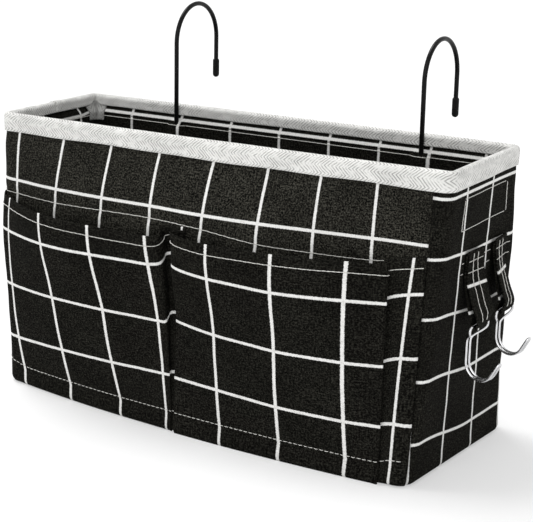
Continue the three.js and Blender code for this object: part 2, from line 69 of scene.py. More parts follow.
def span(node):
    """Lowest and highest corner of a solid, in millimetres."""
    low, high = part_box(node)
    return np.array(low) / MM, np.array(high) / MM


# Sizes read from the solids
RIM_LOW, RIM_HIGH = span("rim_binding")
HEIGHT = RIM_HIGH[2]
TAPE_FOOT = RIM_LOW[2]
HALF_LENGTH = span("right_side_panel")[1][0]
BACK = span("back_panel")[1][1]
FRONT = -BACK
WALL_TOP = span("back_panel")[1][2]
POCKET_TOP = span("left_pocket")[1][2]

# Box: at the foot its right end draws in, most at the front, while its rear right foot, its left end, its
# front and its back stand out, the front more and more to the right
CORNER = 12
RIM_CORNER = 5.5
EDGE = 5
LEFT_INSET = -2.5
RIGHT_INSET_FRONT = 12
RIGHT_INSET_BACK = 8
RIGHT_FOOT_OUT = 4.5
FRONT_FLARE = 21
FLARE_POWER = 2.6
BACK_FLARE = 9
RIM_BOW = 2.5
CLOTH = 0.8
BOARD_INSET = 1.3
BOARD = 1.4
BOARD_MARGIN = 4
LINING_INSET = 3.0
WALL = LINING_INSET + CLOTH
SEAM_MARGIN = 13
SEAM_DRIFT = 11
SEAM_LEFT = math.radians(80) * CORNER

FLAT_X = HALF_LENGTH - CORNER
FLAT_Y = BACK - FRONT - 2 * CORNER
ARC = CORNER * math.pi / 2
SIDE_START = FLAT_X + ARC
SIDE_END = SIDE_START + FLAT_Y
HALF_GIRTH = SIDE_END + ARC + FLAT_X
FRONT_RIGHT_SEAM = HALF_LENGTH - SEAM_MARGIN
FRONT_LEFT_SEAM = -FLAT_X - SEAM_LEFT
BACK_SEAM = HALF_GIRTH - FRONT_RIGHT_SEAM
LINING_SEAM = FLAT_X + ARC / 2
BACK_LINING_SEAM = HALF_GIRTH - LINING_SEAM

# Swell of the loose cloth: places along the girth and how far it stands out there below the rim. The pleat
# between the pockets draws a channel into it.
SWELL = [(-240, 0), (-183, 3), (-162, 4.5), (-121, 11), (-79, 12.5), (-38, 11.5), (6, 14), (48, 11.5),
         (87, 7), (127, 2), (165, 0), (200, 0), (256, 0), (270, 2), (283, 4), (300, 3.5), (340, 1), (380, 0)]
SWELL_LEVEL = 140
SWELL_FOOT = 72
SIDE_SWELL_FOOT = 8
CHANNEL = -21
CHANNEL_HALF = 8
CHANNEL_DEEP = 8
CHANNEL_TOP = (138, 149)

# Woven check
CHECK = 41.4
LINE = 2.05

# Thread
THREAD = 0.55
STITCH = 3.2
STITCH_GAP = 0.7

# Camera: focal length in pixels of the 533-pixel frame, angles in degrees, place in millimetres
PHOTO_WIDTH = 533
FOCAL = 1548
YAW = -30.32
PITCH = 15.44
ROLL = -1.14
EYE = (547.57, -912.64, 403.61)


# Shapes of the box

def wall(girth, level, inset):
    """Points of the slanted wall. girth runs along the rim from the middle of the front, positive to
    the right; inset is measured inwards from the outer cloth."""
    girth, level, inset = arrays(girth, level, inset)
    around = np.where(girth > HALF_GIRTH, girth - 2 * HALF_GIRTH, girth)
    around = np.where(around < -HALF_GIRTH, around + 2 * HALF_GIRTH, around)
    hand = np.where(around < 0, -1.0, 1.0)
    run = np.abs(around)
    drop = 1 - level / HEIGHT
    share = (np.clip(around / FLAT_X, -1, 1) + 1) / 2
    along = np.clip((run - SIDE_START) / FLAT_Y, 0, 1)
    right_inset = RIGHT_INSET_FRONT + (RIGHT_INSET_BACK - RIGHT_INSET_FRONT) * along
    core_x = HALF_LENGTH - CORNER - drop * np.where(hand < 0, LEFT_INSET, right_inset)
    core_x = core_x + np.where(hand < 0, 0, RIGHT_FOOT_OUT * along * np.clip(drop, 0, 1) ** 4)
    flare = FRONT_FLARE * (1 - (1 - share) ** FLARE_POWER)
    core_front = FRONT + CORNER - drop * flare - RIM_BOW * (1 - (2 * share - 1) ** 2)
    core_back = BACK - CORNER + drop * BACK_FLARE
    tight = CORNER + (RIM_CORNER - CORNER) * smooth(level, TAPE_FOOT - 35, HEIGHT)
    tight = np.maximum(tight, np.minimum(inset + 1, CORNER))
    front_across, front_out = corner((run - FLAT_X) / ARC, tight, inset)
    back_across, back_out = corner((SIDE_END + ARC - run) / ARC, tight, inset)
    front_x = core_x * np.minimum(run / FLAT_X, 1) + front_across
    back_x = core_x * np.minimum((HALF_GIRTH - run) / FLAT_X, 1) + back_across
    places = [run < SIDE_START, run <= SIDE_END]
    x = np.select(places, [front_x, core_x + CORNER - inset], back_x)
    side_y = core_front + (core_back - core_front) * along
    y = np.select(places, [core_front - front_out, side_y], core_back + back_out)
    return np.stack([hand * x, y, level], -1)


def corner(share, tight, inset):
    """Distances across and out from a corner's core, by share of the way round from the long wall. The
    turn has its own radius, between short flats that fill up the corner's size."""
    flat = CORNER - tight
    run = np.clip(share, 0, 1) * (2 * flat + tight * math.pi / 2)
    turn = np.clip((run - flat) / tight, 0, math.pi / 2)
    past = np.maximum(run - flat - tight * math.pi / 2, 0)
    across = np.minimum(run, flat) + (tight - inset) * np.sin(turn)
    return across, flat + (tight - inset) * np.cos(turn) - past


def rolled(girth, height, inset):
    """The same wall by height along the cloth, which rolls in under the box below its bottom edge."""
    girth, height, inset = arrays(girth, height, inset)
    turn = np.clip((EDGE - height) / EDGE, 0, math.pi / 2)
    under = np.maximum(EDGE * (1 - math.pi / 2) - height, 0)
    low = height < EDGE
    level = np.where(low, EDGE - (EDGE - inset) * np.sin(turn), height)
    depth = np.where(low, EDGE - (EDGE - inset) * np.cos(turn) + under, inset)
    return wall(girth, level, depth)


def smooth(value, low, high):
    """Smooth step from 0 at low to 1 at high."""
    t = np.clip((value - low) / (high - low), 0, 1)
    return t * t * (3 - 2 * t)


def arrays(*values):
    """The values as arrays of one shape."""
    return np.broadcast_arrays(*(np.asarray(value, float) for value in values))


def unit(vectors):
    """The same directions at length 1."""
    return vectors / np.linalg.norm(vectors, axis=-1, keepdims=True)


def groove(away, width):
    """A soft groove or ridge, 1 on its line."""
    return np.exp(-(away / width) ** 2)


def fade(away, reach):
    """1 on a line, falling off to both sides."""
    return np.exp(-np.abs(away) / reach)


def crumple(girth, height, size, seed):
    """Gentle uneven swell of cloth, from -1 to 1, with humps of about that size."""
    flat = np.stack(np.broadcast_arrays(girth, height), -1).reshape(-1, 2) / size
    values = [noise.noise(Vector((a, b, seed))) for a, b in flat]
    return np.array(values).reshape(np.broadcast(girth, height).shape)


def pucker(along, away, pitch=7.5, reach=5):
    """Small ripples that a row of stitches draws into the cloth, fading away from the row."""
    wander = along + 2.5 * np.sin(along / 17.3)
    return np.sin(2 * math.pi * wander / pitch) * fade(away, reach)


def curve_through(points, count):
    """A smooth curve through points of any width, as count points spaced evenly along it."""
    points = np.asarray(points, float)
    ends = np.vstack([2 * points[0] - points[1], points, 2 * points[-1] - points[-2]])
    steps = np.linspace(0, 1, 24, endpoint=False)[:, None]
    spans = []
    for a, b, c, d in zip(ends, ends[1:], ends[2:], ends[3:]):
        spans.append(b + steps * ((c - a) / 2 + steps * (a - 2.5 * b + 2 * c - d / 2
                                                        + steps * (1.5 * (b - c) + (d - a) / 2))))
    dense = np.vstack([*spans, points[-1:]])
    length = run_length(dense[:, :2])
    return at_places(np.linspace(0, length[-1], count), length, dense)


def at_places(places, length, rows):
    """Rows of a table at places along its length."""
    return np.stack([np.interp(places, length, column) for column in rows.T], -1)


def run_length(line):
    """Length from the start of a line to each of its points."""
    return np.concatenate([[0], np.cumsum(np.linalg.norm(np.diff(line, axis=0), axis=1))])


# Meshes

def add_object(name, data):
    """A new object in the scene."""
    piece = bpy.data.objects.new(name, data)
    bpy.context.scene.collection.objects.link(piece)
    return piece


def mesh_object(name, vertices, faces, material, body):
    """A mesh that rides on a body, from vertices in millimetres."""
    mesh = bpy.data.meshes.new(name)
    mesh.from_pydata((np.asarray(vertices) * MM).tolist(), [], faces)
    mesh.polygons.foreach_set("use_smooth", [True] * len(mesh.polygons))
    mesh.materials.append(material)
    piece = add_object(name, mesh)
    if body:
        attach(piece, body)
    return piece


def grid_faces(rows, columns, wrap=False):
    """Quads of a grid of points, row by row; wrap joins the last column to the first."""
    faces = []
    for i in range(rows - 1):
        for j in range(columns if wrap else columns - 1):
            k = (j + 1) % columns
            faces.append((i * columns + j, i * columns + k, (i + 1) * columns + k, (i + 1) * columns + j))
    return faces


def cloth_object(name, points, cloth, material, body="box", thickness=CLOTH, offset=-1):
    """A sheet of cloth through a grid of points, with its own weave coordinates."""
    rows, columns = points.shape[:2]
    piece = mesh_object(name, points.reshape(-1, 3), grid_faces(rows, columns), material, body)
    corners = np.zeros(len(piece.data.loops), np.int32)
    piece.data.loops.foreach_get("vertex_index", corners)
    layer = piece.data.uv_layers.new(name="cloth")
    layer.data.foreach_set("uv", (cloth.reshape(-1, 2)[corners] * MM).astype(np.float32).ravel())
    solid = piece.modifiers.new("thickness", "SOLIDIFY")
    solid.thickness = thickness * MM
    solid.offset = offset
    return piece


def apply_modifiers(piece):
    """Makes the shown shape the piece's own mesh."""
    shown = piece.evaluated_get(bpy.context.evaluated_depsgraph_get())
    piece.data = bpy.data.meshes.new_from_object(shown)
    piece.modifiers.clear()


def swept(line, radius, sides=20):
    """Vertices and faces of a round wire along a line, with closed ends."""
    line = np.asarray(line, float)
    tangents = unit(np.gradient(line, axis=0))
    radii = np.broadcast_to(radius, len(line))
    normal = np.cross(tangents[0], [0.3, 0.5, 0.81])
    angles = np.linspace(0, 2 * math.pi, sides, endpoint=False)
    rings = []
    for point, tangent, size in zip(line, tangents, radii):
        normal = unit(normal - tangent * (normal @ tangent))
        side = np.cross(tangent, normal)
        rings.append(point + size * (np.cos(angles)[:, None] * normal + np.sin(angles)[:, None] * side))
    vertices = np.vstack(rings)
    last = len(vertices) - sides
    faces = grid_faces(len(line), sides, wrap=True)
    faces.append(tuple(range(sides))[::-1])
    faces.append(tuple(range(last, last + sides)))
    return vertices, faces


def stitches(name, rows, body="box", tight=True):
    """Rows of thread, each a surface and the places on it that the thread follows. Tight rows run almost
    unbroken, and the others dive under the cloth between stitches."""
    vertices, faces = [], []
    sides, near = 6, 0.3
    lift = np.sin(np.linspace(0, math.pi, 6))
    gap = 0.1 if tight else STITCH_GAP
    high = 0.3 + 0.35 * lift if tight else 0.8 * lift - 0.3
    thick = 0.8 + 0.2 * lift if tight else 0.55 + 0.45 * lift
    for surface, across, up in rows:
        across, up = arrays(across, up)
        line = surface(across, up)
        normal = unit(np.cross(surface(across + near, up) - surface(across - near, up),
                               surface(across, up + near) - surface(across, up - near)))
        length = run_length(line)
        for start in np.arange(near, length[-1] - STITCH, STITCH + gap):
            places = np.linspace(start, start + STITCH, len(lift))
            above = at_places(places, length, normal) * (THREAD * high)[:, None]
            path = at_places(places, length, line) + above
            ring, quads = swept(path, THREAD / 2 * thick, sides)
            faces += [tuple(k + len(vertices) for k in quad) for quad in quads]
            vertices += ring.tolist()
    return mesh_object(name, vertices, faces, COTTON, body)


# Materials

class Nodes:
    """Short names for making and joining shader nodes."""

    def __init__(self, name, store=bpy.data.materials):
        self.owner = store.new(name)
        self.owner.use_nodes = True
        self.tree = self.owner.node_tree

    def add(self, kind, inputs=None, **settings):
        node = self.tree.nodes.new(kind)
        for key, value in settings.items():
            setattr(node, key, value)
        for key, value in (inputs or {}).items():
            self.put(node.inputs[key], value)
        return node

    def put(self, socket, value):
        if isinstance(value, bpy.types.NodeSocket):
            self.tree.links.new(value, socket)
        else:
            socket.default_value = value

    def math(self, operation, *values):
        node = self.add("ShaderNodeMath", dict(enumerate(values)), operation=operation)
        return node.outputs[0]

    def ramp(self, value, low, high, start=0.0, end=1.0):
        node = self.add("ShaderNodeMapRange", {"Value": value, "From Min": low, "From Max": high,
                                               "To Min": start, "To Max": end},
                        interpolation_type="SMOOTHSTEP")
        return node.outputs["Result"]

    def mix(self, factor, first, second):
        node = self.add("ShaderNodeMix", {"Factor": factor}, data_type="RGBA")
        self.put(node.inputs[6], first)
        self.put(node.inputs[7], second)
        return node.outputs[2]

    def total(self, *terms):
        """Sum of values, each with its weight."""
        first, *rest = [self.math("MULTIPLY", value, weight) for value, weight in terms]
        for term in rest:
            first = self.math("ADD", first, term)
        return first

    def noise(self, vector, scale, detail=2.0, roughness=0.5):
        """Noise by one scale, or by a pair of scales along and across."""
        if isinstance(scale, tuple):
            stretch = self.add("ShaderNodeVectorMath", {0: vector, 1: (*scale, 1)}, operation="MULTIPLY")
            vector, scale = stretch.outputs["Vector"], 1.0
        inputs = {"Vector": vector, "Scale": scale, "Detail": detail, "Roughness": roughness}
        return self.add("ShaderNodeTexNoise", inputs).outputs["Fac"]

    def bump(self, height, strength, distance):
        node = self.add("ShaderNodeBump", {"Height": height, "Strength": strength, "Distance": distance})
        return node.outputs["Normal"]

    def seen(self):
        """1 for what the eye sees, straight or by way of metal and glass, and 0 for light on the object."""
        path = self.add("ShaderNodeLightPath").outputs
        through = self.math("MAXIMUM", path["Is Glossy Ray"], path["Is Transmission Ray"])
        return self.math("MAXIMUM", path["Is Camera Ray"], through)

    def finish(self, **inputs):
        shader = self.tree.nodes["Principled BSDF"]
        for key, value in inputs.items():
            self.put(shader.inputs[key.replace("_", " ")], value)
        return self.owner


def cloth_place(n):
    """Place on the cloth, whole and by its axes."""
    place = n.add("ShaderNodeUVMap", uv_map="cloth").outputs["UV"]
    return place, n.add("ShaderNodeSeparateXYZ", {"Vector": place}).outputs


def canvas_material(name, slub):
    """Slubby black canvas with a woven white window-pane check; slub is the lightness of its flecks."""
    n = Nodes(name)
    place, axes = cloth_place(n)
    shift = n.math("MULTIPLY", n.math("SUBTRACT", n.noise(place, (900, 900), 1.0), 0.5), 0.0007)
    masks = []
    for axis in ("X", "Y"):
        away = n.math("PINGPONG", n.math("ADD", axes[axis], shift), CHECK * MM / 2)
        masks.append(n.ramp(away, (LINE / 2 - 0.25) * MM, (LINE / 2 + 0.2) * MM, 1, 0))
    warp = n.noise(place, (1500, 150), 3.0, 0.65)
    weft = n.noise(place, (150, 1500), 3.0, 0.65)
    fleck = n.noise(place, (860, 860), 2.0, 0.7)
    worn = n.noise(place, (28, 28), 3.0, 0.6)
    weave = n.total((warp, 0.5), (weft, 0.5))
    speck = n.total((n.ramp(weave, 0.46, 0.62), 0.55), (n.ramp(fleck, 0.47, 0.64), 0.85))
    speck = n.math("MINIMUM", n.math("MULTIPLY", speck, n.ramp(worn, 0.25, 0.75, 0.55, 1.0)), 1.0)
    black = n.mix(speck, (0.0018, 0.0017, 0.0014, 1), (slub, slub * 0.97, slub * 0.8, 1))
    white = n.mix(n.ramp(weave, 0.3, 0.6), (0.58, 0.575, 0.55, 1), (0.82, 0.815, 0.8, 1))
    crossing = n.math("MULTIPLY", *masks)
    white = n.mix(n.math("MULTIPLY", crossing, 0.12), white, (0.45, 0.44, 0.42, 1))
    colour = n.mix(n.math("MAXIMUM", *masks), black, white)
    return n.finish(Base_Color=colour, Roughness=0.95, Specular_IOR_Level=0.03,
                    Normal=n.bump(n.total((weave, 1), (fleck, 0.6)), 0.6, 0.0005))


def tape_material(name, shade):
    """Off-white herringbone twill tape: slanting ribs that turn at the middle of each leg."""
    n = Nodes(name)
    place, axes = cloth_place(n)
    zig = n.math("PINGPONG", axes["Y"], 0.0052)
    slant = n.total((axes["X"], 1), (zig, 1.15), (n.noise(place, (120, 120), 2.0), 0.0026))
    rib, fine = (n.math("SINE", n.math("MULTIPLY", slant, 2 * math.pi / pitch)) for pitch in (0.0025, 0.0008))
    fibre = n.noise(place, (2200, 900), 3.0, 0.6)
    soil = n.ramp(n.noise(place, (35, 60), 3.0, 0.55), 0.3, 0.7)
    patchy = n.noise(place, (160, 260), 2.0, 0.6)
    depth = n.math("MAXIMUM", n.ramp(rib, -0.95, 0.1), n.ramp(patchy, 0.42, 0.66, 0.0, 0.9))
    tone = [(shade * k, shade * k * 0.995, shade * k * 0.965, 1) for k in (0.27, 0.4, 0.78, 0.9)]
    dark, light = n.mix(soil, *tone[:2]), n.mix(soil, *tone[2:])
    colour = n.mix(n.total((depth, 0.8), (fibre, 0.3)), dark, light)
    return n.finish(Base_Color=colour, Roughness=0.85, Specular_IOR_Level=0.2, Sheen_Weight=0.05,
                    Normal=n.bump(n.total((depth, 1), (fibre, 0.4), (fine, 0.15)), 0.7, 0.0004))


def plain(name, *noises):
    """A new material for a piece that has no weave, with its noises by place."""
    n = Nodes(name)
    place = n.add("ShaderNodeTexCoord").outputs["Object"]
    return n, *(n.noise(place, *settings) for settings in noises)


def thread_material():
    """Cotton sewing thread, off-white, with a fine twist."""
    n, twist, soil = plain("thread", (2600,), (60,))
    light = n.mix(soil, (0.62, 0.61, 0.57, 1), (0.86, 0.85, 0.82, 1))
    colour = n.mix(n.ramp(twist, 0.3, 0.6), (0.4, 0.39, 0.36, 1), light)
    return n.finish(Base_Color=colour, Roughness=0.8, Normal=n.bump(twist, 0.5, 0.0002))


def board_material():
    """Grey-brown card with short fibres."""
    n, fibre, cloud = plain("stiffener", ((900, 300), 4.0, 0.7), (25,))
    colour = n.mix(fibre, (0.3, 0.24, 0.17, 1), n.mix(cloud, (0.42, 0.34, 0.25, 1), (0.5, 0.42, 0.32, 1)))
    return n.finish(Base_Color=colour, Roughness=0.92, Normal=n.bump(fibre, 0.3, 0.0002))


def wire_material():
    """Black gloss coating over steel wire, with faint orange peel."""
    n, peel, scuff = plain("black_wire", (900,), (140, 4.0, 0.7))
    colour = n.mix(n.ramp(scuff, 0.55, 0.8), (0.003, 0.003, 0.003, 1), (0.01, 0.01, 0.01, 1))
    return n.finish(Base_Color=colour, Roughness=n.ramp(scuff, 0.3, 0.8, 0.2, 0.4), Specular_IOR_Level=0.1,
                    Coat_Weight=0.06, Coat_Roughness=0.06, Normal=n.bump(peel, 0.12, 0.0003))


def rubber_material():
    """Dipped black cap, satin, with a slightly dusty skin."""
    n, grain, dust = plain("cap_rubber", (1400, 3.0), (220, 3.0))
    colour = n.mix(n.ramp(dust, 0.45, 0.75), (0.004, 0.004, 0.004, 1), (0.014, 0.014, 0.014, 1))
    return n.finish(Base_Color=colour, Roughness=n.ramp(dust, 0.3, 0.7, 0.4, 0.6), Specular_IOR_Level=0.1,
                    Normal=n.bump(grain, 0.25, 0.0002))


def chrome_material():
    """Bright plated wire with fine drawing marks."""
    n, mark, haze = plain("bright_wire", (1100, 4.0, 0.7), (260,))
    colour = n.mix(haze, (0.6, 0.6, 0.61, 1), (0.78, 0.78, 0.79, 1))
    return n.finish(Base_Color=colour, Metallic=1.0, Roughness=n.ramp(mark, 0.3, 0.8, 0.1, 0.24),
                    Normal=n.bump(mark, 0.06, 0.0002))


CANVAS = canvas_material("canvas", 0.03)
# The front panel's copy of the canvas has lighter flecks: painted light standing in for the light that falls
# on the front.
LIT_CANVAS = canvas_material("canvas_painted_light", 0.066)
TAPE = tape_material("binding_tape", 0.95)
# A copy of the tape darkened to half: painted shade for the corner tapes down inside the box.
SHADED_TAPE = tape_material("binding_tape_painted_shade", 0.5)
COTTON = thread_material()
CARD = board_material()
WIRE = wire_material()
RUBBER = rubber_material()
CHROME = chrome_material()


def dress(piece, slot, *nodes):
    """The piece stands for these solids, which it hides. slot is not used."""
    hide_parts(*nodes)
    return piece


# Outer cloth

UNDER = 7
BASE_CHECK = (4, 9)
FRONT_LINES = (-162, -121, -79, -38, 6, 48, 87, 127)
FRONT_LINES_UP = (158.3,)
SIDE_LINES = (-30, 11.5)
SIDE_LINES_UP = (22, 64, 105.5, 146.5, 188.4)
LINES_ON = 20
SIDE_LIFT = [(0, 6.5), (64, 6.5), (105, 6), (146, 3.5), (188, 0), (206, 0)]
SWELL_CURVE = curve_through(SWELL, 400)


def belly(girth, height):
    """How far the loose cloth stands out from the board behind it."""
    across = np.interp(girth, SWELL_CURVE[:, 0], SWELL_CURVE[:, 1])
    girth = np.asarray(girth)
    drawn = groove(girth - CHANNEL, CHANNEL_HALF) * (1 - smooth(height, *CHANNEL_TOP))
    across = across - CHANNEL_DEEP * drawn
    foot = np.where(girth > FRONT_RIGHT_SEAM, SIDE_SWELL_FOOT, SWELL_FOOT)
    above = np.sin(math.pi / 2 * np.clip((TAPE_FOOT - height) / (TAPE_FOOT - SWELL_LEVEL), 0, 1))
    below = np.cos(math.pi / 2 * np.clip((SWELL_LEVEL - height) / (SWELL_LEVEL - foot), 0, 1)) ** 2
    return across * np.where(height > SWELL_LEVEL, above, below)


def right_seam(height):
    """The front right seam, which stays upright while the corner draws in towards the foot."""
    return FRONT_RIGHT_SEAM + SEAM_DRIFT * (1 - np.clip(height, 0, HEIGHT) / HEIGHT)


def loose(height):
    """Share of free movement of the cloth: none under the tape or at the bottom edge."""
    return smooth(height, EDGE, 3 * EDGE) * (1 - smooth(height, TAPE_FOOT - 10, TAPE_FOOT + 1))


PANEL_ROW = curve_through([(-183, 148.6), (-120, 148.6), (-60, 150), (0, 149.4), (50, 145), (90, 144),
                           (130, 144.3), (166, 148.6)], 200)


def panel_row(girth):
    """Level of the stitch row across the front panel."""
    return np.interp(girth, PANEL_ROW[:, 0], PANEL_ROW[:, 1])


def rumple(girth, height, *humps):
    """Uneven swell of loose cloth. Each size of hump has its height, its width and a seed."""
    return loose(height) * sum(tall * crumple(girth, height, wide, seed) for tall, wide, seed in humps)


def over_board(girth, height, swell):
    """Outer cloth, which hardly sinks into the board behind it."""
    return rolled(girth, height, -np.maximum(swell, -0.5))


def front_face(girth, height):
    """The front panel, drawn in along its stitch row and its right seam."""
    row = height - panel_row(girth)
    swell = belly(girth, height) + rumple(girth, height, (1.1, 52, 1.7), (0.35, 17, 4.1))
    swell = swell + 0.28 * pucker(girth, row) - 0.7 * groove(row, 3.6)
    return over_board(girth, height, swell - 1.2 * fade(right_seam(height) - girth, 1.6))


def side_face(girth, height):
    """The right side panel, drawn in along its front seam."""
    swell = belly(girth, height) + rumple(girth, height, (0.6, 40, 7.7), (0.3, 13, 9.1))
    return over_board(girth, height, swell - fade(girth - right_seam(height), 1.6))


def plain_face(girth, height):
    """The back and left panels."""
    swell = belly(girth, height) + rumple(girth, height, (0.8, 45, 12.7), (0.25, 15, 3.3))
    return over_board(girth, height, swell)


def check_at(place, lines):
    """Weave coordinate of a place, where each listed place carries a line of the check."""
    steps = CHECK * np.arange(1, LINES_ON + 1)
    places = np.concatenate([lines[0] - steps[::-1], lines, lines[-1] + steps])
    return np.interp(place, places, (np.arange(len(places)) - LINES_ON) * CHECK)


def across_wall(girth, height, low, high, axis, hand=1):
    """Distance across a flat wall, which runs on evenly round its corners."""
    flat = np.clip(girth, low, high)
    return wall(flat, height, 0)[..., axis] + hand * (girth - flat)


def front_weave(girth, height):
    """Weave coordinates of the front, where the lines stand at set distances across."""
    across = across_wall(girth, height, -FLAT_X, FLAT_X, 0)
    return np.stack([check_at(across, FRONT_LINES), check_at(height, FRONT_LINES_UP)], -1)


def side_weave(girth, height):
    """Weave coordinates of the right side, where the lines rise a little towards the front seam."""
    across = across_wall(girth, height, SIDE_START, SIDE_END, 1)
    lift = np.interp(height, *zip(*SIDE_LIFT)) * (1 - smooth(across, -60, 5))
    return np.stack([check_at(across, SIDE_LINES), check_at(height - lift, SIDE_LINES_UP)], -1)


def plain_weave(girth, height, lines_up=SIDE_LINES_UP):
    """Weave coordinates of the back and left panels."""
    return np.stack([check_at(np.abs(girth), (SIDE_START + 30,)), check_at(height, lines_up)], -1)


def panel(node, surface, start, end, weave, material=CANVAS, step=2.6):
    """One outer panel from the rim to under the base, between two seams given by height."""
    foot = EDGE * (1 - math.pi / 2) - UNDER
    heights = np.linspace(foot, WALL_TOP, 110)
    first, last = start(heights)[:, None], end(heights)[:, None]
    width = float((last - first).mean())
    girth = first + (last - first) * np.linspace(0, 1, int(width / step))
    height = np.broadcast_to(heights[:, None], girth.shape)
    points = surface(girth, height)
    points[..., 2] = np.maximum(points[..., 2], 0)
    piece = cloth_object(node.replace("panel", "cloth"), points, weave(girth, height), material)
    return dress(piece, "canvas", node)


def upright(girth):
    """A seam that keeps its place along the girth."""
    return lambda heights: np.full(len(heights), float(girth))


# The front panel takes the copy of the canvas with lighter flecks, which is painted light.
panel("front_panel", front_face, upright(FRONT_LEFT_SEAM), right_seam, front_weave, LIT_CANVAS)
panel("right_side_panel", side_face, right_seam, upright(BACK_SEAM), side_weave)
panel("back_panel", plain_face, upright(BACK_SEAM), upright(2 * HALF_GIRTH - BACK_SEAM), plain_weave)
panel("left_side_panel", plain_face, upright(-BACK_SEAM), upright(FRONT_LEFT_SEAM), plain_weave)


def plate(name, node, inset, level, crown=0.0):
    """A layer of the base, as rings of the box's plan that shrink to a slot in the middle. Cloth has a crown,
    and the board is flat."""
    outline = wall(np.linspace(-HALF_GIRTH, HALF_GIRTH, 260), level, inset)
    spine = outline * np.array([0.68, 0.0, 1.0])
    rings = np.linspace(1, 0, 16)[:, None, None]
    points = spine + (outline - spine) * rings
    points[..., 2] += crown * (1 - rings[..., 0] ** 2)
    weave = points[..., :2] - BASE_CHECK
    if not crown:
        return dress(cloth_object(name, points, weave, CARD, thickness=BOARD, offset=0), "stiffener", node)
    piece = cloth_object(name, points, weave, CANVAS, offset=0)
    return dress(piece, "canvas", node)


plate("base_cloth", "base_panel", EDGE + UNDER - 1, CLOTH / 2 + 0.9, crown=0.3)
plate("base_card", "base_board", WALL + 5, 3.4)
plate("base_lining_cloth", "base_lining", WALL + 0.8, 5.0, crown=0.4)


def wall_card(node, start, end):
    """A stiffening board inside a wall."""
    girths = np.linspace(start + BOARD_MARGIN, end - BOARD_MARGIN, 40)
    girth, level = np.meshgrid(girths, np.linspace(EDGE + 1, WALL_TOP, 30))
    points = wall(girth, level, BOARD_INSET)
    weave = np.stack([girth, level], -1)
    piece = cloth_object(node.replace("board", "card"), points, weave, CARD, thickness=BOARD)
    return dress(piece, "stiffener", node)


wall_card("front_board", -FLAT_X, FLAT_X)
wall_card("right_board", SIDE_START, SIDE_END)
wall_card("back_board", HALF_GIRTH - FLAT_X, HALF_GIRTH + FLAT_X)
wall_card("left_board", -SIDE_END, -SIDE_START)


# Lining

LINING_LINES = (-137, -92, -48, -6, 35, 75, 114, 155)
LINING_LINES_UP = (194.2,)
LINING_ROW = 190.3
LINING_SET_IN = 4.2
INNER_TAPE_FOOT = TAPE_FOOT + 4.8
HOOK_JOINTS = {j["child"]: np.array(j["pos_m"]) / MM for j in frame["joints"]}
STEM = {side: HOOK_JOINTS[f"{side}_hook"] for side in ("left", "right")}
HOOK_WIRE = span("left_rail_hook")[1][0] - span("left_rail_hook")[0][0]
STEM_INSET = BACK - STEM["left"][1]
RIDGE_REACH = 13
RIDGE_COVER = 2.7
RIDGE_FOOT = span("left_hook_foot")[0][2] - 12


def lining_swell(height):
    """How far the lining stands into the box: drawn to the tape at the rim, full below the row."""
    drawn = smooth(height, LINING_ROW + 2, INNER_TAPE_FOOT + 0.5)
    return LINING_SET_IN * (1 - drawn) * smooth(height, WALL, 40)


def ridge(x, height):
    """The swell of the back lining over the two stems."""
    nearest = np.minimum(np.abs(x - STEM["left"][0]), np.abs(x - STEM["right"][0]))
    tall = STEM_INSET + HOOK_WIRE / 2 + RIDGE_COVER - WALL + BACK_FLARE * (1 - height / HEIGHT)
    shape = (1 - smooth(nearest, 3.2, RIDGE_REACH + 1)) * smooth(height, RIDGE_FOOT - 20, RIDGE_FOOT)
    return tall * shape * (1 - smooth(height, LINING_ROW - 1, LINING_ROW + 6))


def lining_face(girth, height, ridges=0.0, humps=(0.5, 38, 21.3), drawn=0.4):
    """A lining panel, drawn in along its stitch row."""
    swell = np.maximum(lining_swell(height), ridges) + rumple(girth, height, humps)
    swell = swell - drawn * groove(height - LINING_ROW, 3)
    return wall(girth, height, LINING_INSET + np.maximum(swell, 0))


def back_lining_face(girth, height):
    """The back lining, with its ridges over the stems."""
    ridges = ridge(wall(girth, height, 0)[..., 0], height)
    return lining_face(girth, height, ridges, (0.4, 38, 25.3), 0.35)


def back_lining_weave(girth, height):
    """Weave coordinates of the back lining, where the lines stand at set distances across."""
    across = across_wall(girth, height, HALF_GIRTH - FLAT_X, HALF_GIRTH + FLAT_X, 0, -1)
    return np.stack([check_at(across, LINING_LINES), check_at(height, LINING_LINES_UP)], -1)


def lining_weave(girth, height):
    """Weave coordinates of the other linings, whose line hangs lower at the left end."""
    low = 2.5 * smooth(-girth, SIDE_START - 10, SIDE_START + 30)
    low = low * (1 - smooth(-girth, SIDE_END - 15, SIDE_END + 10))
    return plain_weave(girth, height + low, LINING_LINES_UP)


def lining(node, surface, start, end, weave, foot=WALL + 1.6, top=WALL_TOP, step=2.5):
    """One lining panel, seen from inside the box."""
    girths = np.linspace(end, start, max(int((end - start) / step), 8))
    heights = np.linspace(foot, top, max(int((top - foot) / 2.0), 6))
    girth, height = np.meshgrid(girths, heights)
    piece = cloth_object(f"{node}_cloth", surface(girth, height), weave(girth, height), CANVAS)
    return dress(piece, "canvas", node)


SLIT = TAPE_FOOT - 1.6
BACK_END = 2 * HALF_GIRTH - BACK_LINING_SEAM
lining("front_lining", lining_face, -LINING_SEAM, LINING_SEAM, lining_weave)
lining("right_lining", lining_face, LINING_SEAM, BACK_LINING_SEAM, lining_weave)
lining("left_lining", lining_face, -BACK_LINING_SEAM, -LINING_SEAM, lining_weave)
for node, ends in (("back_lining", {"top": SLIT}), ("back_facing", {"foot": SLIT + 0.3})):
    lining(node, back_lining_face, BACK_LINING_SEAM, BACK_END, back_lining_weave, step=1.6, **ends)


# Binding

TAPE_THICK = 1.0
TAPE_PROUD = 0.3 + TAPE_THICK
CROWN = 3


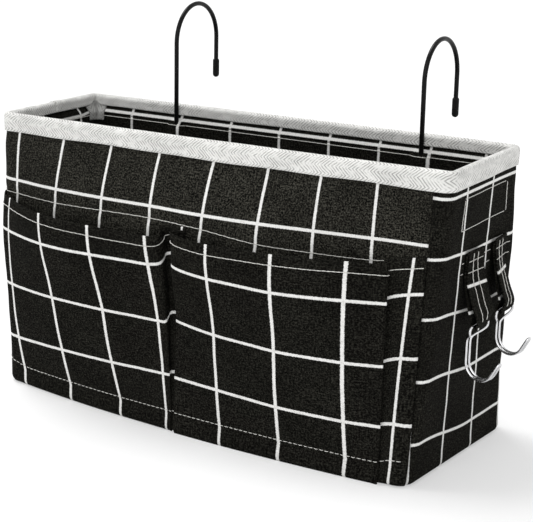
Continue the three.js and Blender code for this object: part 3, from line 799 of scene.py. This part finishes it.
def binding_section():
    """Inset and level round the folded tape, from the outer foot over the rim to the inner foot."""
    middle = WALL / 2
    half = middle + TAPE_PROUD
    shoulder = HEIGHT - CROWN
    section = [(middle - half, level) for level in np.linspace(TAPE_FOOT, shoulder, 7)[:-1]]
    for angle in np.linspace(math.pi, 0, 11):
        section.append((middle + half * math.cos(angle), shoulder + CROWN * math.sin(angle)))
    section += [(middle + half, level) for level in np.linspace(shoulder, INNER_TAPE_FOOT, 7)[1:]]
    return np.array(section)


JOIN = -SIDE_START - FLAT_Y * 0.55
SECTION = binding_section()
SECTION_RUN = run_length(SECTION)
TAPE_WIDTH = SECTION_RUN[-1]


def binding_face(girth, place):
    """The tape by its place across, 0 to 1 from the outer foot to the inner foot."""
    inset, level = (np.interp(place, SECTION_RUN / TAPE_WIDTH, column) for column in SECTION.T)
    outer = smooth(HEIGHT - level, 4, 13)
    wave = 0.25 * np.sin(girth / 11) + 0.3 * np.sin(girth / 27 + 1)
    hand = np.where(np.asarray(place) < 0.5, -1.0, 1.0)
    swell = 0.25 * crumple(girth, place * 30, 23, 31.0) * outer + 0.15 * outer
    lap = 0.9 * smooth(girth, JOIN + 2 * HALF_GIRTH - 6, JOIN + 2 * HALF_GIRTH - 4)
    x = wall(girth, level, 0)[..., 0]
    behind = (girth > SIDE_END) & (girth < 2 * HALF_GIRTH - SIDE_END) & (hand > 0)
    for stem in STEM.values():
        swell = swell + np.where(behind, 0.9 * groove(x - stem[0] - 3, 4), 0) * outer
    points = wall(girth, level - wave * outer, inset + hand * (swell + lap))
    points[..., 2] += 0.35 * crumple(girth, 0 * girth, 60, 3.0) + lap * (1 - outer)
    return points


def binding():
    """The folded tape, whose ends lap on the left end of the box."""
    girths = np.linspace(JOIN - 4, JOIN + 2 * HALF_GIRTH + 3, 660)
    girth, place = np.meshgrid(girths, SECTION_RUN / TAPE_WIDTH)
    cloth = np.stack([girth, (place - 0.5) * TAPE_WIDTH], -1)
    piece = cloth_object("binding", binding_face(girth, place), cloth, TAPE, thickness=TAPE_THICK)
    return dress(piece, "binding_tape", "rim_binding")


def corner_gather(name, girth, tall):
    """A short end of tape that binds the lining's seam in a corner."""
    girths = np.linspace(girth + 13, girth - 13, 27)
    levels = np.linspace(INNER_TAPE_FOOT - tall, INNER_TAPE_FOOT + 3, 16)
    place, level = np.meshgrid(girths, levels)
    proud = 1.2 + 1.2 * np.cos((place - girth) / 13 * math.pi / 2) + 0.5 * crumple(place, level, 4, 71.0)
    points = wall(place, level, LINING_INSET + lining_swell(level) + proud)
    # The darkened copy of the tape is painted shade of the inside corner.
    piece = cloth_object(name, points, np.stack([level, place], -1), SHADED_TAPE)


binding()
corner_gather("left_corner_tape", BACK_END, 11)
corner_gather("right_corner_tape", BACK_LINING_SEAM, 8)


# Pockets

HEM = 6.6
HEM_TURN = 10
FOOT_ROW = 13
POCKET_FOOT = 1.4
# The hem turned in at the mouth: how far down and how deep behind the front each row of it lies
HEM_FOLD = ((-0.45, 0.5), (0.1, 1.05), (2.5, 1.2), (5, 1.2), (7.5, 1.2), (HEM_TURN, 1.2))


class Pocket:
    """A pocket front, by columns from its left end to its right end. Each column gives its place along the
    girth and its stand-off from the panel at the mouth, the same at the foot, the stand-off half way up,
    the droop of its edge, its sideways bow half way up, its weave coordinate in lines of the check and the
    lift of its level lines."""

    def __init__(self, node, columns, lines_up):
        self.node = node
        self.columns = curve_through(columns, 1200)
        self.length = run_length(self.columns[:, :2])
        self.lines_up = lines_up

    def at(self, run, columns):
        """Values of the columns at places along the mouth."""
        return [np.interp(run, self.length, column) for column in self.columns.T[columns]]

    def face(self, run, height):
        """Points by length along the mouth and height along the cloth."""
        run, height = arrays(run, height)
        girth, off, foot_girth, foot_off, middle, droop, bow = self.at(run, slice(7))
        rise = np.clip((height - FOOT_ROW) / (POCKET_TOP - FOOT_ROW), 0, 1.1)
        half_way = 4 * rise * (1 - rise)
        place = foot_girth + (girth - foot_girth) * rise + bow * half_way
        stand = foot_off * (1 - rise) * (1 - 2 * rise) + middle * half_way + off * rise * (2 * rise - 1)
        stand = np.maximum(stand, np.minimum(off, foot_off))
        free = smooth(rise, 0.02, 0.3) * smooth(stand, 1.5, 6)
        stand = stand + free * (0.9 * crumple(run, height, 46, 63.5) + 0.3 * crumple(run, height, 15, 47.0))
        stand = stand + 0.25 * pucker(run, height - FOOT_ROW) * smooth(stand, 1.2, 2)
        stand = stand + 0.2 * pucker(run, height - POCKET_TOP + HEM, 6.3, 4) * free
        sunk = droop * smooth(rise, 0, 0.7)
        return rolled(place, height - sunk, -stand - belly(place, height - sunk))

    def weave(self, run, height):
        """Weave coordinates of the cloth."""
        lines, lift = self.at(run, slice(7, 9))
        return np.stack([lines * CHECK, check_at(height - lift, self.lines_up)], -1)

    def build(self):
        """The cloth of the front, with its hem turned in."""
        columns = np.linspace(0, self.length[-1], int(self.length[-1] / 0.9))
        heights = np.concatenate([np.linspace(POCKET_FOOT, FOOT_ROW, 9)[:-1],
                                  np.linspace(FOOT_ROW, POCKET_TOP, 54)])
        run, height = np.meshgrid(columns, heights)
        points = self.face(run, height)
        points[..., 2] = np.maximum(points[..., 2], 0)
        normal = unit(np.cross(np.gradient(points, axis=1), np.gradient(points, axis=0)))
        cloth = self.weave(run, height)
        turned, turned_cloth = [], []
        for down, depth in HEM_FOLD:
            row = np.interp(POCKET_TOP - max(down, 0), heights, np.arange(len(heights)))
            low, part = int(row), row - int(row)
            high = min(low + 1, len(heights) - 1)
            edge = points[low] * (1 - part) + points[high] * part
            turned.append(edge - normal[low] * depth + [0, 0, max(-down, 0)])
            turned_cloth.append(cloth[-1] + [0, down + 1])
        piece = cloth_object(f"{self.node}_cloth", np.concatenate([points, turned]),
                             np.concatenate([cloth, turned_cloth]), CANVAS, thickness=0.7)
        return dress(piece, "canvas", self.node)

    def rows(self):
        """Stitch rows of the hem and the foot."""
        inner = np.linspace(1, self.length[-1] - 1, 900)
        girth, = self.at(inner, slice(1))
        foot = FOOT_ROW + 2.5 + 5 * (1 - smooth(girth, -184, -155)) + 2.5 * smooth(girth, 140, 165)
        return (self.face, inner, POCKET_TOP - HEM), (self.face, inner, foot)


RIGHT_END = float(right_seam(POCKET_TOP)) - 0.2
RIGHT_FOOT_END = float(right_seam(FOOT_ROW)) - 0.2
LEFT_POCKET = Pocket("left_pocket", [
    (FRONT_LEFT_SEAM + 0.5, 0.9, FRONT_LEFT_SEAM + 0.5, 0.9, 0.9, 0, 0, -0.6, 0),
    (-174, 1.3, -174, 1.1, 1.3, 0, -4, -0.34, 0),
    (-161, 8.8, -158, 1.2, 8, 0.6, -5, 0, 0.2),
    (-142, 13.5, -134, 1.4, 11.5, 2, -3.4, 0.5, 1.4),
    (-122, 16, -110, 1.5, 13.5, 3.2, -2.6, 1, 2.6),
    (-101, 15, -86, 1.6, 13, 4.8, -2.2, 1.5, 3.6),
    (-80.5, 11.5, -62, 1.6, 11.5, 6, -1.6, 2, 4.4),
    (-57, 9.4, -41, 1.6, 9.4, 6.8, -0.6, 2.5, 5),
    (-34, 9.4, -21, 1.7, 8, 7, 0.6, 3, 5.2),
    (-27, 8.8, -16.6, 1.7, 7.2, 6.4, 0.8, 3.2, 5.2),
    (-25.2, 5.4, -17.5, 1.4, 4, 3.6, 0.4, 3.34, 5.2),
    (-25.6, 2, -16.5, 1.1, 1.5, 1, 0, 3.48, 5),
    (-21.5, 0.9, -15, 0.9, 0.9, 0, 0, 3.58, 5),
    (-8, 0.9, -13, 0.9, 0.9, -1.8, 0, 4, 5),
    (-5, 0.9, -12.5, 0.9, 0.9, -2.2, 0, 4.07, 5),
], (-6, 38.5, 80.5, 122.5))
RIGHT_POCKET = Pocket("right_pocket", [
    (-5, 1.8, -10, 1.7, 1.8, 0, 0, -0.93, 1),
    (-9, 3.4, -12, 2, 3, 0.2, 0, -0.9, 1),
    (-13.5, 8, -14, 2.9, 6.6, 0.6, 0.5, -0.82, 1.5),
    (-10, 9.4, -9.5, 3.1, 7.4, 1.6, 0, -0.7, 1.6),
    (1, 8.2, 8, 3.2, 7.6, 3.6, -1, -0.38, 1.4),
    (16.5, 7.4, 26.6, 3.2, 8.2, 5, -1.5, 0, 1.2),
    (40, 7.8, 51.5, 3.2, 10, 5, -1, 0.5, 0.6),
    (65.5, 8.7, 77, 3.2, 12, 5, 0, 1, 0),
    (91, 9.4, 104, 3.2, 12.5, 4.2, 0, 1.5, 0),
    (118, 9, 130.5, 3.2, 12, 3.2, -0.4, 2, 0),
    (136, 6.6, 147.5, 3, 7.8, 3, 0, 2.3, 0),
    (145.5, 5.4, 156, 2.7, 5.6, 2.6, 0, 2.48, 0),
    (141, 3.2, 152, 2.1, 3.4, 1.4, 0, 2.56, 0),
    (143.5, 1.8, 154, 1.5, 1.9, 0.4, 0, 2.62, 0.2),
    (150, 1.2, 158, 1.1, 1.2, -1, -0.8, 2.76, 0.8),
    (159.6, 0.9, 163.4, 0.9, 0.9, -2.6, -1.4, 3, 1.2),
    (RIGHT_END, 0.9, RIGHT_FOOT_END, 0.9, 0.9, -4.2, 0, 3.2, 1.2),
], (-6, 40, 81.5, 122.5))

for pocket in (LEFT_POCKET, RIGHT_POCKET):
    pocket.build()


# Hooks for the rail

WIRE_SIDES = 24


def rail_hook(side):
    """One hook: stem, crown and free leg, with a dipped cap on each end."""
    low, high = span(f"{side}_rail_hook")
    x = STEM[side][0]
    stem_y, leg_y = low[1] + HOOK_WIRE / 2, high[1] - HOOK_WIRE / 2
    crown = high[2] - HOOK_WIRE / 2
    radius = (leg_y - stem_y) / 2
    tip_foot = span(f"{side}_hook_tip")[0][2]
    line = [(x, stem_y, z) for z in np.linspace(low[2], crown - radius, 40)[:-1]]
    for a in np.linspace(math.pi, 0, 60):
        line.append((x, stem_y + radius + radius * math.cos(a), crown - radius + radius * math.sin(a)))
    line += [(x, leg_y, z) for z in np.linspace(crown - radius, tip_foot + 2.3, 20)[1:]]
    vertices, faces = swept(line, HOOK_WIRE / 2, WIRE_SIDES)
    wire = mesh_object(f"{side}_hook_wire", vertices, faces, WIRE, f"{side}_hook")
    dress(wire, "black_wire", f"{side}_rail_hook")
    for end in ("tip", "foot"):
        cap(f"{side}_{end}_cap", f"{side}_hook_{end}", f"{side}_hook")


def cap(name, node, body):
    """A dipped cap: rounded end, straight skirt and a soft lip where the wire goes in."""
    low, high = span(node)
    radius = (high[0] - low[0]) / 2
    bore = HOOK_WIRE / 2 + 0.2
    tall = high[2] - low[2]
    profile = [(0, 0)]
    profile += [(radius * math.sin(a), radius * (1 - math.cos(a))) for a in np.linspace(0.15, math.pi / 2, 9)]
    profile += [(radius, tall * 0.5), (radius, tall - 1.4), (radius * 0.97, tall - 0.7)]
    profile += [(radius * 0.88, tall - 0.15), (bore + 0.1, tall), (bore, tall - 0.5)]
    profile += [(bore, tall - 4), (0, tall - 4)]
    angles = np.linspace(0, 2 * math.pi, 28, endpoint=False)
    x, y = ((low + high) / 2)[:2]
    vertices = [(x + across * math.cos(a), y + across * math.sin(a), low[2] + up)
                for across, up in profile for a in angles]
    piece = mesh_object(name, vertices, grid_faces(len(profile), len(angles), wrap=True), RUBBER, body)
    weld(piece)
    return dress(piece, "cap_rubber", node)


def weld(piece):
    """Joins points that fall together, as on the axis of a turned shape."""
    work = bmesh.new()
    work.from_mesh(piece.data)
    bmesh.ops.remove_doubles(work, verts=work.verts, dist=1e-6)
    bmesh.ops.recalc_face_normals(work, faces=work.faces)
    work.to_mesh(piece.data)
    work.free()


def sleeve(side):
    """The webbing channel behind the lining that holds a stem."""
    low, high = span(f"{side}_hook_sleeve")
    x, y = STEM[side][:2]
    half = (high[0] - low[0]) / 2
    bore = HOOK_WIRE / 2 + 0.75
    back = high[1] - 0.5
    profile = [(x - half, back), (x - half / 2, back), (x - bore * 0.9, back - 0.4)]
    for a in np.linspace(math.pi * 1.12, math.pi * 1.88, 13):
        profile.append((x + bore * math.cos(a), y + bore * math.sin(a)))
    profile += [(x + bore * 0.9, back - 0.4), (x + half / 2, back), (x + half, back)]
    levels = np.linspace(low[2], high[2], 14)
    points = np.array([[(px, py, level) for px, py in profile] for level in levels])
    lengths = run_length(np.array(profile))
    cloth = np.stack(np.meshgrid(lengths + 8, levels - 8), -1)
    piece = cloth_object(f"{side}_sleeve_webbing", points, cloth, CANVAS, thickness=0.7, offset=0)
    return dress(piece, "canvas", f"{side}_hook_sleeve")


for build in (rail_hook, sleeve):
    for side in STEM:
        build(side)


# Straps and small hooks

STRAP_CLOTH = 1.1
STRAP_LINES = (-4.6, 1.6)
STRAP_NARROW = 3
STRAP_TURN = {"front": 0.17, "rear": -0.17}
BAR_UP = 124.5

# Small hook: wire, half width of its ring, ears, doubled stem, bend and tip
KEY_WIRE = 1.8
RING_HALF = 15
EAR = 2.8
PAIR = 1.9
STEM_TOP = 13
BEND = 10.8
TIP = 8
SWEEP = math.radians(150)
HOOK_TURN = math.radians(11)
# How each hangs: sideways, set back from its ring, the bend's level below the ring, and the lean
HANG = {"front": (-1.5, 6.5, 26.7, 2.5), "rear": (0, 4, 20.5, 1)}


def strap_place(end):
    """Middle and half width of a strap across the side panel, and the level of its top."""
    low, high = span(f"{end}_strap_tab")
    return (low[1] + high[1]) / 2, (high[1] - low[1]) / 2 - STRAP_NARROW, high[2]


def strap_profile(end):
    """Outline of a strap in its plane, as distance from the wall's stitch line and level, from the back
    layer's top round the small hook's ring to the front layer's top."""
    ring = HOOK_JOINTS[f"{end}_small_hook"]
    hinge = HOOK_JOINTS[f"{end}_loop"]
    tab_low, tab_high = span(f"{end}_strap_tab")
    lean, hang = ring[0] - hinge[0], hinge[2] - ring[2]
    turn = KEY_WIRE / 2 + 0.5 + STRAP_CLOTH / 2
    back, front = -0.62, 0.62
    top = tab_high[2] - hinge[2]
    slope = (tab_high[0] - tab_low[0] - 2.4) / (tab_high[2] - tab_low[2])
    points = [(back + slope * top, top - 0.8), (back + slope * top / 2, top / 2), (back, 0.5)]
    points += [(0.5, -hang * 0.3), (lean * 0.38, -hang * 0.65), (lean - turn - 0.1, -hang + 2.2)]
    for a in np.linspace(math.pi, 2 * math.pi, 9):
        points.append((lean + turn * math.cos(a), -hang + turn * math.sin(a)))
    points += [(lean + turn + 0.1, -hang + 4), (lean * 0.66 + 1.2, -hang * 0.6),
               (lean * 0.3 + 0.9, -hang * 0.3), (front + 0.3, -1.2), (front + slope * top / 2, top / 2),
               (front + slope * top, top - 0.2), (front - 0.55 + slope * top, top + 0.35)]
    profile = curve_through(points, 150)
    return np.stack([hinge[0] + profile[:, 0], hinge[2] + profile[:, 1]], -1), hinge


def strap(end):
    """A strap folded through the small hook's ring and sewn to the side panel. Returns its outer face."""
    profile, hinge = strap_profile(end)
    centre, half, strap_top = strap_place(end)
    ring_up = HOOK_JOINTS[f"{end}_small_hook"][2]
    turn = STRAP_TURN[end]
    lengths = run_length(profile)
    tangent = unit(np.gradient(profile, axis=0))
    outward = np.stack([tangent[:, 1], -tangent[:, 0]], -1)

    def turned_out(place, level):
        """How far one edge stands out further than the other, between the tab and the small hook's ring."""
        share = (0.35 + 0.65 * smooth(hinge[2] + 12 - level, 0, 16)) * smooth(level - ring_up, 1, 8)
        return half * share * (turn * place + abs(turn))

    def crown(run, place, level):
        """Swell across the loose part."""
        swell = 0.35 * np.cos(place * math.pi / 2) + 0.35 * crumple(run, place * half, 12, 61.0)
        return smooth(hinge[2] - level, 2, 14) * swell

    run, place = np.meshgrid(lengths, np.linspace(-1, 1, 23), indexing="ij")
    lift = crown(run, place, profile[:, 1:])
    z = profile[:, 1:] + lift * outward[:, 1:]
    x = profile[:, :1] + lift * outward[:, :1] + turned_out(place, z)
    bar = lengths[-1] - (strap_top - BAR_UP)
    cloth = np.stack([place * half + CHECK / 2, run - bar], -1)
    points = np.stack([x, centre + place * half, z], -1)
    piece = cloth_object(f"{end}_strap", points, cloth, CANVAS, body=None, thickness=STRAP_CLOTH, offset=0)
    apply_modifiers(piece)
    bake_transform(piece)
    dress(piece, "canvas", f"{end}_strap_tab", f"{end}_strap_loop")

    def outer(sideways, up):
        """The outer face by place across and length up to the front layer's top, so below 0."""
        where, place = lengths[-1] + up, sideways / half
        x, z, out_x, out_z = (np.interp(where, lengths, column) for column in (*profile.T, *outward.T))
        lift = STRAP_CLOTH / 2 + crown(where, place, z)
        return np.stack([x + turned_out(place, z) + lift * out_x, centre + sideways, z + lift * out_z], -1)

    seam = np.linspace(-1.5, -lengths[-1] * 0.47, 200)
    thread = stitches(f"{end}_strap_thread", [(outer, place, seam) for place in STRAP_LINES], body=None)
    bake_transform(thread)
    return outer


STRAP_FACES = {end: strap(end) for end in ("front", "rear")}


def key_hook(end):
    """A small hook bent from one wire that runs down, round the bend and back beside itself."""
    aside, back, stem_end, lean = HANG[end]
    ear_y = RING_HALF - EAR
    bar = [(0, y, 0) for y in np.linspace(2, ear_y, 8)[:-1]]
    ear = [(0, ear_y + EAR * math.sin(a), EAR * math.cos(a) - EAR) for a in np.linspace(0, SWEEP, 16)]
    first = np.array(ear[-1])
    second = first + [-back * 0.2, -5.2, -3]
    third, fourth = (np.array((-back, PAIR, z - STEM_TOP)) for z in (4.5, 0))
    t = np.linspace(0, 1, 24)[1:, None]
    leg = (1 - t) ** 3 * first + 3 * t * (1 - t) ** 2 * second + 3 * t * t * (1 - t) * third + t ** 3 * fourth
    straight = [(-back, PAIR, -z) for z in np.linspace(STEM_TOP, stem_end, 8)[1:-1]]
    angles = math.pi + np.linspace(0, SWEEP, 40)
    hook = [(BEND - back + BEND * math.cos(a), PAIR, -stem_end + BEND * math.sin(a)) for a in angles]
    heading = np.array([-math.sin(angles[-1]), 0, math.cos(angles[-1])])
    point = hook[-1] + heading * np.linspace(0, TIP, 6)[1:, None]
    one = np.vstack([bar, ear, leg, straight, hook, point])
    a = np.linspace(0, math.pi, 12)[1:-1, None]
    turn = point[-1] * [1, 0, 1] + PAIR * (np.cos(a) * [0, 1, 0] + np.sin(a) * heading)
    x, y, z = np.vstack([one, turn, one[::-1] * [1, -1, 1]]).T
    angle = HOOK_TURN * smooth(-z, 3, 14)
    sideways = y * np.cos(angle) - x * np.sin(angle) + aside - lean * smooth(-z, 4, 16)
    line = np.stack([x * np.cos(angle) + y * np.sin(angle), sideways, z], -1)
    wire = swept(line + HOOK_JOINTS[f"{end}_small_hook"], KEY_WIRE / 2, 14)
    piece = mesh_object(f"{end}_key_wire", *wire, CHROME, f"{end}_small_hook")
    return dress(piece, "bright_wire", f"{end}_key_hook")


for end in STRAP_FACES:
    key_hook(end)


# Thread

def along(start, end, step=0.5):
    """Close places from start to end."""
    return np.linspace(start, end, max(int(abs(end - start) / step), 4))


def side_girth(y, level):
    """Place along the girth of a distance across the right side at a level."""
    ends = wall([SIDE_START, SIDE_END], level, 0)[:, 1]
    return SIDE_START + FLAT_Y * (y - ends[0]) / (ends[1] - ends[0])


row = along(FRONT_LEFT_SEAM + 3, right_seam(148) - 1)
stitches("front_panel_thread", [(front_face, row, panel_row(row))])
hems, feet = zip(LEFT_POCKET.rows(), RIGHT_POCKET.rows())
stitches("pocket_hem_thread", hems)
stitches("pocket_foot_thread", feet, tight=False)

BOX_LOW, BOX_HIGH = 164, 185
BOX_ENDS = side_girth(-33, BOX_HIGH), side_girth(36, BOX_HIGH)
box_rows = [(side_face, along(*BOX_ENDS), level) for level in (BOX_HIGH, BOX_LOW)]
stitches("side_box_thread", box_rows + [(side_face, place, along(BOX_LOW, BOX_HIGH)) for place in BOX_ENDS])


STRAP_ROWS = (141, 133.6)
STRAP_ROW_ENDS = (-28, 46)


def strap_rows():
    """Two rows that sew both straps to the side panel, over the straps and between them."""
    rows = []
    for level in STRAP_ROWS:
        edges = [side_girth(STRAP_ROW_ENDS[0], level)]
        for end, face in STRAP_FACES.items():
            centre, half, top = strap_place(end)
            edges += [side_girth(centre - half, level), side_girth(centre + half, level)]
            rows.append((face, along(-half, half), level - top))
        edges.append(side_girth(STRAP_ROW_ENDS[1], level))
        rows += [(side_face, along(a, b), level) for a, b in zip(edges[::2], edges[1::2]) if b - a > STITCH]
    return rows


def lining_row(surface, start, end):
    """The row round the lining. Its places are counted backwards, so that the thread stands into the box."""
    return lambda back, up: surface(-back, up), -along(end - 2, start + 2), LINING_ROW


stitches("strap_row_thread", strap_rows())
stitches("lining_thread", [lining_row(back_lining_face, BACK_LINING_SEAM, BACK_END),
                           lining_row(lining_face, LINING_SEAM, BACK_LINING_SEAM),
                           lining_row(lining_face, -BACK_LINING_SEAM, -LINING_SEAM)])


# Stage, light and camera

def floor():
    """A pale floor that shows white to the eye and keeps a soft shadow."""
    n = Nodes("floor")
    diffuse = n.add("ShaderNodeBsdfDiffuse", {"Color": (0.95, 0.95, 0.95, 1)})
    glow = n.add("ShaderNodeEmission", {"Color": (1, 1, 1, 1), "Strength": 1.0})
    share = n.math("MULTIPLY", n.seen(), 0.4)
    mixed = n.add("ShaderNodeMixShader", {0: share, 1: diffuse.outputs[0], 2: glow.outputs[0]})
    n.tree.links.new(mixed.outputs[0], n.tree.nodes["Material Output"].inputs["Surface"])
    half = 20000
    corners = [(-half, -half, 0), (half, -half, 0), (half, half, 0), (-half, half, 0)]
    piece = mesh_object("floor", corners, [(0, 1, 2, 3)], n.owner, None)


def lamp(name, source, strength, softness):
    """A broad even light from a direction; softness is the width of its disc in degrees."""
    data = bpy.data.lights.new(name, "SUN")
    data.energy = strength
    data.angle = math.radians(softness)
    add_object(name, data).rotation_euler = Vector(source).to_track_quat("Z", "Y").to_euler()


def world(strength):
    """Even light of that strength from all round, which shows white to the eye and in metal."""
    n = Nodes("studio", bpy.data.worlds)
    background = n.tree.nodes["Background"].inputs
    n.put(background["Color"], (1, 1, 1, 1))
    n.put(background["Strength"], n.ramp(n.seen(), 0, 1, strength, 1))
    bpy.context.scene.world = n.owner


def camera():
    """The photograph's viewpoint."""
    yaw, pitch, roll = (math.radians(a) for a in (YAW, PITCH, ROLL))
    forward = Vector((math.sin(yaw) * math.cos(pitch), math.cos(yaw) * math.cos(pitch), -math.sin(pitch)))
    right = forward.cross(Vector((0, 0, 1))).normalized()
    down = forward.cross(right)
    across = right * math.cos(roll) + down * math.sin(roll)
    below = down * math.cos(roll) - right * math.sin(roll)
    data = bpy.data.cameras.new("camera")
    data.sensor_width = 36
    data.lens = FOCAL * data.sensor_width / PHOTO_WIDTH
    data.clip_start, data.clip_end = 0.05, 60
    piece = add_object("camera", data)
    turned = Matrix((across, -below, -forward)).transposed().to_4x4()
    piece.matrix_world = Matrix.Translation(Vector(EYE) * MM) @ turned
    bpy.context.scene.camera = piece


floor()
world(0.66)
lamp("key", (-0.45, 0.08, 0.85), 2.0, 34)
lamp("fill", (0.15, -0.85, 0.5), 0.7, 50)
camera()
bpy.context.scene.view_settings.view_transform = "Standard"
